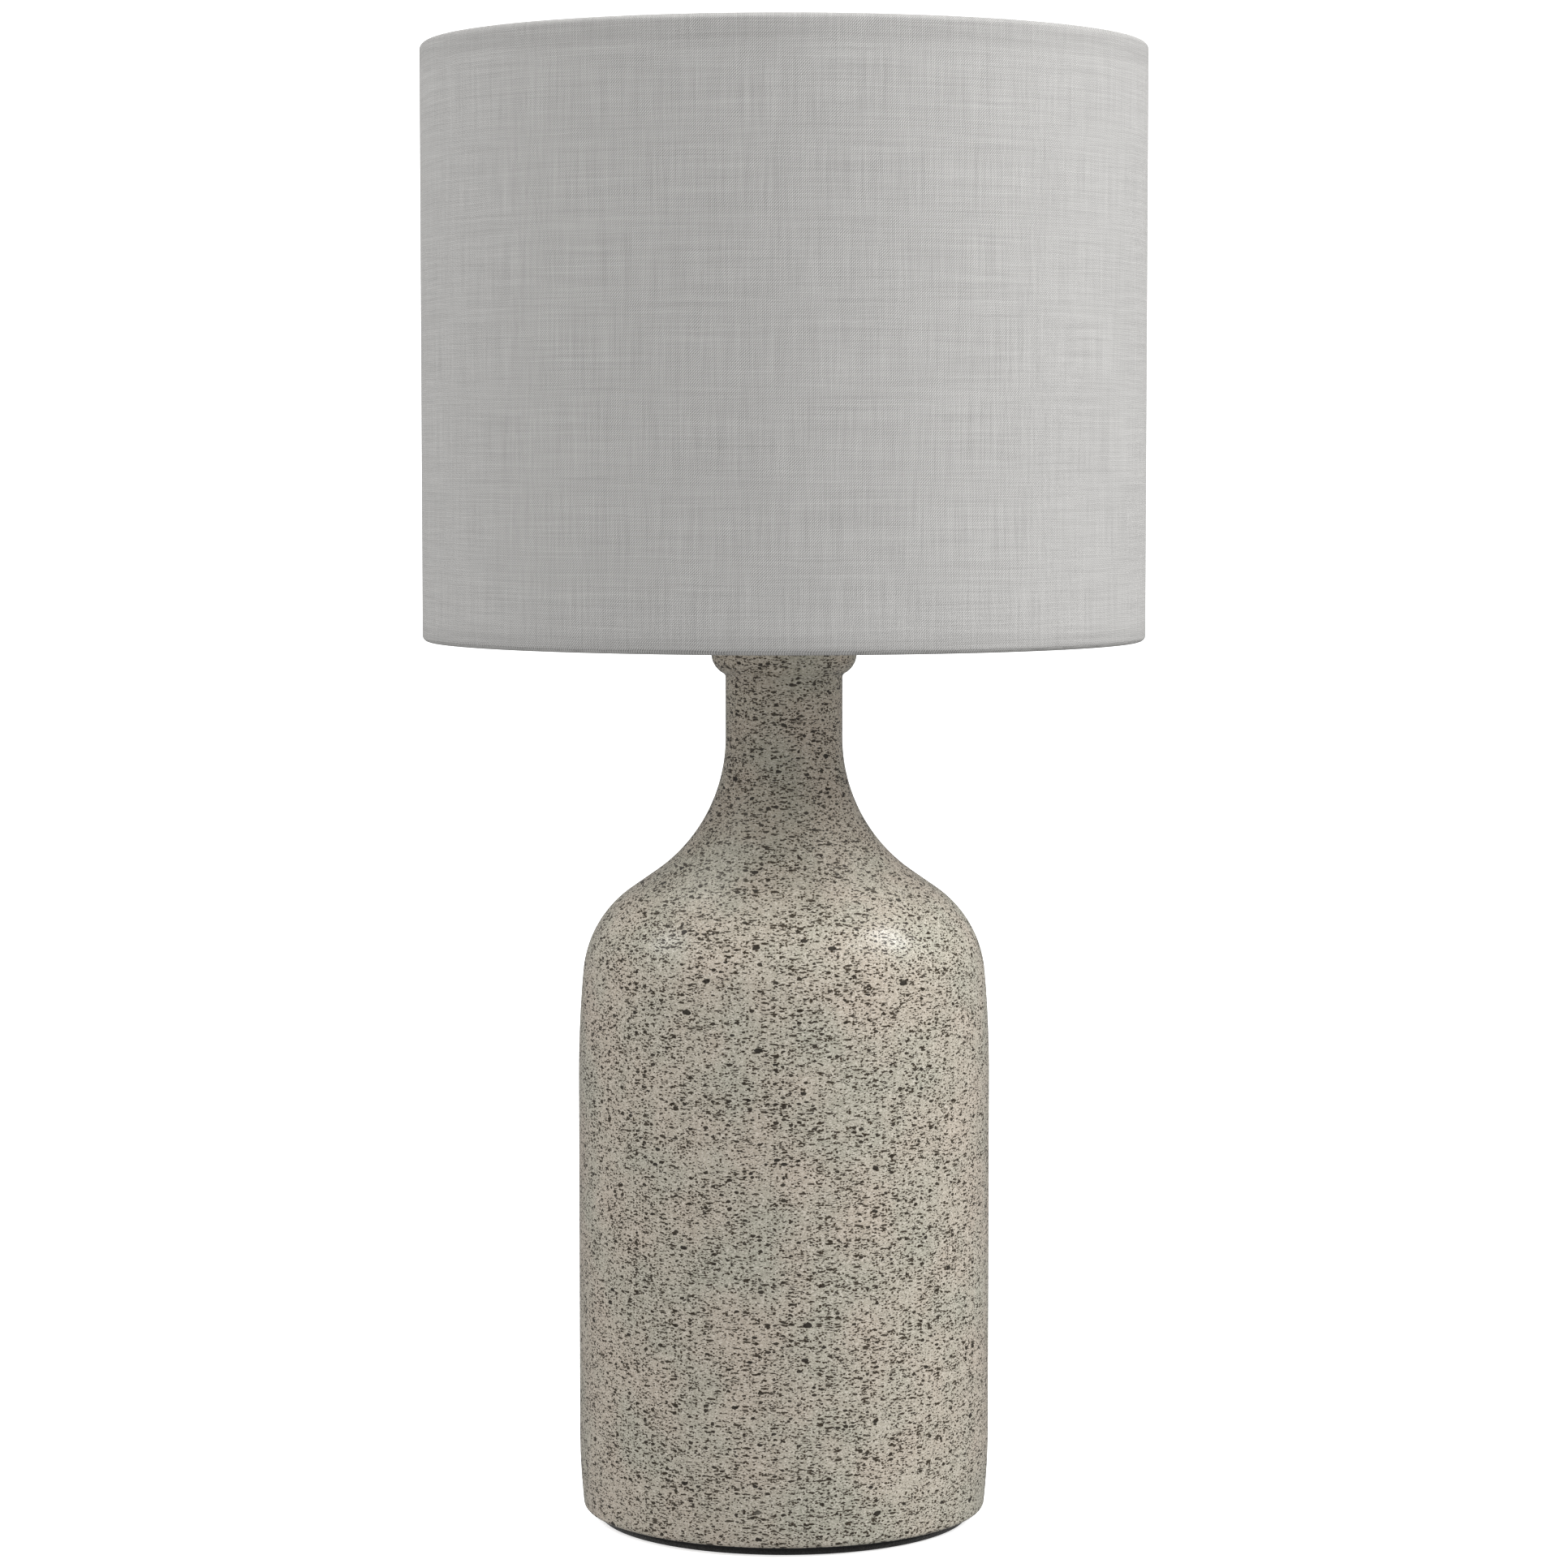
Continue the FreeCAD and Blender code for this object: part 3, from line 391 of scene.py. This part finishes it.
def grey_linen():
    """Plain-woven linen in light grey, with slubs in both directions, on the cloth's own map, with
    painted shade in the weave's hollows and along both hems.
    """
    finish = Finish("grey_linen", Roughness=0.95, Specular_IOR_Level=0.12)
    warp_pitch, weft_pitch = 0.52 * MM, 0.56 * MM
    spot = finish.place("UV")
    wander = finish.sway(spot, 1 / (9 * MM), 0.9 * MM)
    across, up, _ = finish.apart(wander)
    warp, weft = across / warp_pitch, up / weft_pitch
    warp_number, weft_number = warp.math("FLOOR"), weft.math("FLOOR")
    swing = (weft + warp_number).math("MULTIPLY", math.pi).math("COSINE")
    swing_back = (warp + weft_number).math("MULTIPLY", math.pi).math("COSINE")
    warp_round = (warp * math.pi).math("SINE").math("ABSOLUTE")
    weft_round = (weft * math.pi).math("SINE").math("ABSOLUTE")
    warp_top = warp_round + swing * 0.22
    weft_top = weft_round * 0.82 - swing_back * 0.22
    height = warp_top.math("MAXIMUM", weft_top)

    def threads(along, past):
        """Give soft noise drawn out along the yarns of one direction."""
        return finish.noise(finish.together(along, past), 1.0, 2.0)

    warp_yarn = threads(warp_number * 0.73, up * (1 / (34 * MM)))
    weft_yarn = threads(across * (1 / (55 * MM)), weft_number * 0.73)
    warp_slub = threads(across * (1 / (3.4 * MM)), up * (1 / (48 * MM)))
    weft_slub = threads(across * (1 / (42 * MM)), up * (1 / (2.6 * MM)))
    patch = finish.step(finish.noise(spot, 1 / (13 * MM), 3.0, 0.6), 0.28, 0.72)
    tone = (warp_yarn - 0.5) * 0.42 + (weft_yarn - 0.5) * 0.42
    tone = tone + (warp_slub - 0.5) * 0.12 + (weft_slub - 0.5) * 0.12
    # Painted shade of the weave: the cloth is drawn darker where the weave lies low between the
    # threads, and lighter on the threads' crowns.
    depth = (height - 0.8) * (patch * 0.80 + 1.00)
    _, rise, _ = finish.apart(spot)
    # Painted shade: a band along each hem is drawn darker, standing in for the light that the
    # doubled hem and its ring keep back.
    hem_painted_shade = finish.step(rise, SHADE_TOP - 13 * MM, SHADE_TOP - 8 * MM)
    hem_painted_shade = hem_painted_shade + finish.step(rise, SHADE_LOW + 10 * MM, SHADE_LOW + 5 * MM)
    level = (tone + depth) * 0.62 + 0.5 - hem_painted_shade * 0.06
    finish.set("Base Color", finish.blend(level, colour(94, 93, 92), colour(196, 195, 193)))
    finish.bump(height + warp_yarn * 0.5 + weft_yarn * 0.5, 0.14 * MM, 0.6)
    return finish.material


def brushed(name, shade, rough, metallic=1.0):
    """Plated metal with fine turning marks and slight cloudiness."""
    finish = Finish(name, Metallic=metallic)
    lines = finish.noise(finish.place(scale=(60, 60, 9000)), 1.0, 2.0)
    cloud = finish.noise(finish.place(), 1 / (12 * MM), 3.0)
    tint = finish.blend(cloud * 0.35, shade, tuple(0.72 * part for part in shade[:3]) + (1,))
    finish.set("Base Color", tint)
    finish.set("Roughness", lines * 0.12 + cloud * 0.08 + (rough - 0.1))
    finish.bump(lines, 0.01 * MM, 0.5)
    return finish.material


def moulded(name, shade, rough, grain=0.35, cloudy=0.1):
    """Moulded plastic or paint with a fine surface grain."""
    finish = Finish(name)
    grain_noise = finish.noise(finish.place(), 1 / (grain * MM), 3.0, 0.6)
    cloud = finish.noise(finish.place(), 1 / (15 * MM), 3.0)
    lighter = tuple(min(1.0, part * (1 + 2 * cloudy) + 0.004) for part in shade[:3]) + (1,)
    finish.set("Base Color", finish.blend(cloud, shade, lighter))
    finish.set("Roughness", grain_noise * 0.12 + cloud * 0.06 + (rough - 0.08))
    finish.bump(grain_noise, 0.02 * MM, 0.6)
    return finish.material


def felt():
    """Pressed black felt: tangled short fibres."""
    finish = Finish("black_felt", Roughness=0.98, Sheen_Weight=0.3)
    spot = finish.sway(finish.place(), 1 / (1.5 * MM), 2.0 * MM)
    fibres = finish.step(finish.noise(spot, 1 / (0.9 * MM), 5.0, 0.75), 0.25, 0.8)
    finish.set("Base Color", finish.blend(fibres, colour(9, 9, 9), colour(46, 45, 44)))
    finish.bump(fibres, 0.3 * MM, 0.8)
    return finish.material


# ---------------------------------------------------------------- the stage

def stage_white():
    """Matt white paint of the studio floor."""
    duller, brighter = (0.90, 0.90, 0.90, 1), (0.92, 0.92, 0.92, 1)
    finish = Finish("studio_white", Roughness=1.0, Specular_IOR_Level=0.0, Emission_Strength=0.6)
    soft = finish.noise(finish.place(), 3.0, 1.0)
    finish.set("Base Color", finish.blend(soft, duller, brighter))
    return finish.material


SKY = 0.78
MIRRORED_SKY = 0.18
LAMP_MIDDLE = Vector((0, 0, 0.3))
CAMERA_SPOT = (0, -1.9493, 0.4532)
CAMERA_DIP = 4.114
CAMERA_LENS = 105.78
LIGHTS = [
    # name, turn from the front, elevation, distance, width, height, power, mirrored in the glaze
    ("key_light", 82, 42, 2.6, 0.5, 1.0, 17, True),
    ("fill_light", -86, 35, 2.6, 0.5, 0.8, 5, True),
    ("left_bank", -78, 44, 3.0, 1.6, 1.4, 58, False),
    ("side_bank", 76, 42, 3.2, 1.6, 1.8, 33, False),
    ("right_bank", 52, 44, 3.2, 2.0, 1.8, 90, False),
]


def softbox(name, turn, elevation, distance, width, height, power, mirrored):
    """Hang one soft light round the lamp and point it at the lamp's middle."""
    light = bpy.data.lights.new(name, "AREA")
    light.shape = "RECTANGLE"
    light.size = width
    light.size_y = height
    light.energy = power
    holder = bpy.data.objects.new(name, light)
    turn, elevation = math.radians(turn), math.radians(elevation)
    aim = Vector((math.sin(turn) * math.cos(elevation), -math.cos(turn) * math.cos(elevation),
                  math.sin(elevation)))
    holder.location = aim * distance + LAMP_MIDDLE
    holder.rotation_euler = aim.to_track_quat("Z", "Y").to_euler()
    holder.visible_camera = False
    holder.visible_glossy = mirrored
    bpy.context.scene.collection.objects.link(holder)


def sky():
    """Light the room evenly from all round, and dim what the glaze and the metal mirror of it."""
    world = bpy.data.worlds.new("studio_sky")
    world.use_nodes = True
    nodes, links = world.node_tree.nodes, world.node_tree.links
    background = nodes["Background"].inputs
    background["Color"].default_value = (1, 1, 1, 1)
    rays = nodes.new("ShaderNodeLightPath")
    strength = nodes.new("ShaderNodeMapRange")
    strength.inputs["To Min"].default_value = SKY
    strength.inputs["To Max"].default_value = MIRRORED_SKY
    links.new(rays.outputs["Is Glossy Ray"], strength.inputs["Value"])
    links.new(strength.outputs["Result"], background["Strength"])
    bpy.context.scene.world = world


def studio():
    """Set the pale floor with its round sweep, the sky, the lights and the camera."""
    floor_radius, sweep_radius, wall_height = 3.0, 1.5, 3.0
    section = Outline(0, 0).run(floor_radius, 3).bend(sweep_radius, 90, 16).run(wall_height)
    floor = keep(lathe(section, 64), "studio_sweep")
    floor.data.flip_normals()
    floor.data.materials.append(stage_white())
    floor.visible_glossy = False
    floor.visible_diffuse = False
    sky()
    for light in LIGHTS:
        softbox(*light)

    camera_data = bpy.data.cameras.new("camera")
    camera_data.sensor_width = 36.0
    camera_data.lens = CAMERA_LENS
    camera_data.clip_start = 0.01
    camera = bpy.data.objects.new("camera", camera_data)
    camera.location = CAMERA_SPOT
    camera.rotation_euler = (math.radians(90 - CAMERA_DIP), 0, 0)
    bpy.context.scene.collection.objects.link(camera)
    bpy.context.scene.camera = camera
    bpy.context.scene.view_settings.view_transform = "Standard"


# ---------------------------------------------------------------- the bottle

BODY_RADIUS = 87.35 * MM
NECK_RADIUS = 24.8 * MM
LIP_TOP = high("ceramic_body")
BOTTLE_FOOT = low("ceramic_body")
FOOT_OPENING = 66.0 * MM
WALL = 6.0 * MM
SIDE_TOP = 188.8 * MM
CORD_HEIGHT = 22.0 * MM


def bottle_side(line, depth):
    """Draw the side from the straight wall up to the neck, a depth inside the outer face."""
    side_arc, side_turn, shoulder_arc, slope, neck_arc = 497 * MM, 5.22, 47.5 * MM, 55.2, 69.2 * MM
    neck_arc, shoulder_arc, side_arc = neck_arc + depth, shoulder_arc - depth, side_arc - depth
    line.bend(side_arc, side_turn, 10).bend(shoulder_arc, slope - side_turn, 28)
    rise = math.radians(slope)
    drop = line.points[-1][0] - (NECK_RADIUS - depth) - neck_arc * (1 - math.cos(rise))
    return line.run(drop / math.sin(rise), 2).bend(neck_arc, -slope, 32)


def bottle_outline():
    """Draw the bottle's section: the outer side up to the lip, the web, and the inner side."""
    foot_arc, foot_turn, foot_fillet = 301.5 * MM, 6.12, 2.2 * MM
    bead, bead_centre, hollow = 9.5 * MM, 21.3 * MM, 2.0 * MM
    web_hole, web, round_edge, floor = 5.5 * MM, 8.0 * MM, 0.6 * MM, 8 * MM
    edge = BODY_RADIUS - foot_arc * (1 - math.cos(math.radians(foot_turn)))
    edge -= foot_fillet * math.cos(math.radians(foot_turn))

    line = Outline(FOOT_OPENING, BOTTLE_FOOT).run(edge - FOOT_OPENING, 2)
    line.bend(foot_fillet, 90 - foot_turn, 6).bend(foot_arc, foot_turn, 10)
    line.run(SIDE_TOP - line.points[-1][1], 10)
    bottle_side(line, 0)
    reach_across = bead + hollow
    offset = NECK_RADIUS + hollow - bead_centre
    tilt = math.degrees(math.asin(offset / reach_across))
    bead_start = LIP_TOP - bead - math.sqrt(reach_across ** 2 - offset ** 2)
    line.run(bead_start - line.points[-1][1], 4)
    line.bend(hollow, -(90 - tilt), 6).bend(bead, 180 - tilt, 26)
    line.run(bead_centre - web_hole - round_edge, 2).bend(round_edge, 90, 4)
    line.to(web_hole, LIP_TOP - web).to(NECK_RADIUS - WALL, LIP_TOP - web)
    inside = bottle_side(Outline(BODY_RADIUS - WALL, SIDE_TOP, 90), WALL)
    line.points += inside.points[::-1]
    line.to(BODY_RADIUS - WALL, BOTTLE_FOOT + floor).to(FOOT_OPENING, BOTTLE_FOOT + floor)
    return line


def bottle():
    """Turn the glazed bottle, and drill the cord hole with its flat seat at the back."""
    piece = keep(lathe(bottle_outline(), 240, closed=True), "bottle_glazed", 50)
    hole, seat = 6.0 * MM, 10.0 * MM
    near_end, seat_face, far_end = 70 * MM, 86.0 * MM, 100 * MM
    drill = Outline(0, near_end).to(hole, near_end).to(hole, seat_face).to(seat, seat_face)
    mesh = lathe(drill.to(seat, far_end).to(0, far_end), 48)
    to_the_back = Matrix.Rotation(-math.pi / 2, 3, "X")
    bmesh.ops.rotate(mesh, verts=mesh.verts, cent=(0, 0, 0), matrix=to_the_back)
    bmesh.ops.translate(mesh, verts=mesh.verts, vec=(0, 0, CORD_HEIGHT))
    carve(piece, keep(mesh, "cord_drill"), 50)
    settle(piece, speckled_glaze(), "speckled_glaze", "lamp_base", "ceramic_body")


def felt_pad():
    """Cut the felt disc under the foot, with soft edges."""
    radius, thickness, soft = reach("foot_pad"), high("foot_pad") - low("foot_pad"), 0.45 * MM
    line = Outline(0, low("foot_pad")).run(radius - soft, 24).bend(soft, 90, 4)
    line.run(thickness - 2 * soft).bend(soft, 90, 4).to(0, high("foot_pad"))
    piece = keep(lathe(line, 160), "felt_disc", 60)
    settle(piece, felt(), "black_felt", "lamp_base", "foot_pad")


# ---------------------------------------------------------------- the socket and the bulb

def socket_barrel(nickel):
    """Spin the socket's outer shell, with a rolled mouth, two beads and a crimped skirt."""
    radius, bottom, top = 16.4 * MM, low("socket_shell"), high("socket_shell")
    wall, bead, skirt = 0.5 * MM, 0.45 * MM, 20 * MM
    mouth_roll, mouth_turned, mouth_depth = 0.55 * MM, 2.2 * MM, 4 * MM
    line = Outline(radius, bottom, 90)
    for height in (bottom + skirt, top - 9 * MM, top - 5.5 * MM):
        line.run(height - bead - line.points[-1][1], 3)
        line.turn(-50).bend(bead, 100, 6).turn(-50)
    line.run(top - 0.6 * MM - line.points[-1][1], 3).bend(mouth_roll, 180, 8)
    line.run(mouth_turned, 2).to(radius - wall, top - mouth_depth).to(radius - wall, bottom)
    piece = keep(lathe(line, 96, closed=True), "socket_barrel", 35)
    settle(piece, nickel, "satin_nickel", "lamp_base", "socket_shell")


def bulb_screw(metal):
    """Wind the bulb's screw cap."""
    depth, pitch = 0.8 * MM, 3.6 * MM
    thread = threaded(reach("bulb_cap"), depth, pitch, low("bulb_cap"), high("bulb_cap"))
    piece = keep(thread, "bulb_screw", 50)
    settle(piece, metal, "bulb_metal", "bulb", "bulb_cap")


# ---------------------------------------------------------------- the shade

SHADE_RADIUS = reach("shade_fabric")
SHADE_LOW = low("shade_fabric")
SHADE_TOP = high("shade_fabric")
ROLL = 2.5 * MM
CLOTH = 0.4 * MM
HEM = 9.0 * MM
LAP = 12 * MM


def shade_cloth():
    """Roll the linen over both rings, with a turned hem inside, and give it a map in metres."""
    inner, hem_gap = ROLL - CLOTH, 0.1 * MM
    height = SHADE_TOP - SHADE_LOW - 2 * ROLL
    line = Outline(SHADE_RADIUS - 2 * ROLL + hem_gap, SHADE_LOW + ROLL + HEM, -90)
    line.run(HEM, 6).bend(ROLL, 180, 14).run(height, 60).bend(ROLL, 180, 14).run(HEM, 6)
    line.turn(90).run(CLOTH).turn(90).run(HEM, 6).bend(inner, -180, 14)
    line.run(height, 20).bend(inner, -180, 14).run(HEM, 6)
    piece = keep(lathe(line, 360, closed=True), "shade_linen", 60)
    map_cloth(piece, 0.0)
    linen = grey_linen()
    settle(piece, linen, "grey_linen", "shade", "shade_fabric")
    seam = lap_seam(linen, height)


def lap_seam(linen, height):
    """Lay the folded end of the linen over its start, down the back of the shade."""
    width, proud, buried, under = LAP, 0.45 * MM, 0.15 * MM, 0.55 * MM
    line = Outline(SHADE_RADIUS - ROLL, SHADE_LOW - proud).bend(ROLL + proud, 90, 8)
    line.run(height, 60).bend(ROLL + proud, 90, 8)
    line.turn(90).run(proud + buried).turn(90).bend(ROLL - buried, -90, 8)
    line.run(height, 20).bend(ROLL - buried, -90, 8)
    mesh = lathe(line, 6, closed=True, sweep=math.degrees(width / SHADE_RADIUS))
    bmesh.ops.holes_fill(mesh, edges=mesh.edges, sides=0)
    back = math.radians(88)
    bmesh.ops.rotate(mesh, verts=mesh.verts, cent=(0, 0, 0), matrix=Matrix.Rotation(back, 3, "Z"))
    for point in mesh.verts:
        around = math.atan2(point.co.y, point.co.x) - back
        sunk = 1 - under / SHADE_RADIUS * max(0.0, around * SHADE_RADIUS / width)
        point.co.x *= sunk
        point.co.y *= sunk
    piece = keep(mesh, "lap_seam", 40)
    map_cloth(piece, 0.35)
    settle(piece, linen, "grey_linen", "shade")
    return piece


def map_cloth(piece, start):
    """Map a cloth's points by the way round the shade from a start and the height, in metres."""
    layer = piece.data.uv_layers.new(name="weave")
    for face in piece.data.polygons:
        middle = face.center
        base = math.atan2(middle.x, -middle.y)
        for loop in face.loop_indices:
            point = piece.data.vertices[piece.data.loops[loop].vertex_index].co
            angle = math.atan2(point.x, -point.y)
            if angle - base > math.pi:
                angle -= 2 * math.pi
            if base - angle > math.pi:
                angle += 2 * math.pi
            lift = point.z - (math.hypot(point.x, point.y) - SHADE_RADIUS)
            layer.data[loop].uv = (start + angle * SHADE_RADIUS, lift)


def dress(finishes):
    """Give each CAD node that shows its own finish."""
    for material, names in finishes:
        for name in names:
            NODES[name].data.materials.clear()
            NODES[name].data.materials.append(material)


studio()
bottle()
felt_pad()
shade_cloth()
nickel = brushed("satin_nickel", colour(196, 190, 180), 0.32)
bulb_metal = brushed("bulb_metal", colour(200, 200, 200), 0.3)
socket_barrel(nickel)
bulb_screw(bulb_metal)
dress([
    (moulded("black_enamel", colour(22, 22, 23), 0.42, 0.6), ["foot_plate"]),
    (moulded("black_nylon", colour(20, 20, 20), 0.5),
     ["cord_bushing", "bushing_nut", "switch_knob"]),
    (nickel,
     ["vase_cap", "harp_saddle", "socket_cap", "harp_wire", "harp_stud", "harp_sleeve_left",
      "harp_sleeve_right", "shade_washer", "spider_hub", "spider_arm_1", "spider_arm_2",
      "spider_arm_3", "finial_washer", "finial"]),
    (brushed("zinc_steel", colour(188, 188, 184), 0.4),
     ["threaded_nipple", "neck_washer", "lower_nut", "upper_nut", "lock_washer"]),
    (brushed("socket_brass", colour(212, 172, 98), 0.3),
     ["screw_shell", "centre_contact", "terminal_screws", "switch_stem"]),
    (moulded("liner_paper", colour(150, 120, 84), 0.85), ["socket_liner"]),
    (moulded("black_phenolic", colour(30, 26, 23), 0.4), ["socket_core"]),
    (moulded("gold_insulation", colour(176, 142, 74), 0.35), ["live_lead"]),
    (moulded("white_insulation", colour(214, 212, 204), 0.35), ["neutral_lead"]),
    (moulded("white_wire", colour(226, 225, 221), 0.4), ["top_ring", "bottom_ring"]),
    (moulded("white_styrene", colour(226, 224, 219), 0.55, 0.8, 0.015), ["shade_liner"]),
    (bulb_metal, ["bulb_contact"]),
    (moulded("black_glass", colour(14, 14, 16), 0.15), ["bulb_insulator"]),
    (moulded("bulb_white", colour(205, 205, 203), 0.4, 0.5, 0.02), ["bulb_housing"]),
    (moulded("opal_globe", colour(222, 222, 218), 0.3, 0.3, 0.01), ["bulb_globe"]),
    (moulded("white_board", colour(230, 230, 228), 0.4), ["led_board"]),
    (moulded("green_board", colour(30, 96, 54), 0.35), ["driver_board"]),
])
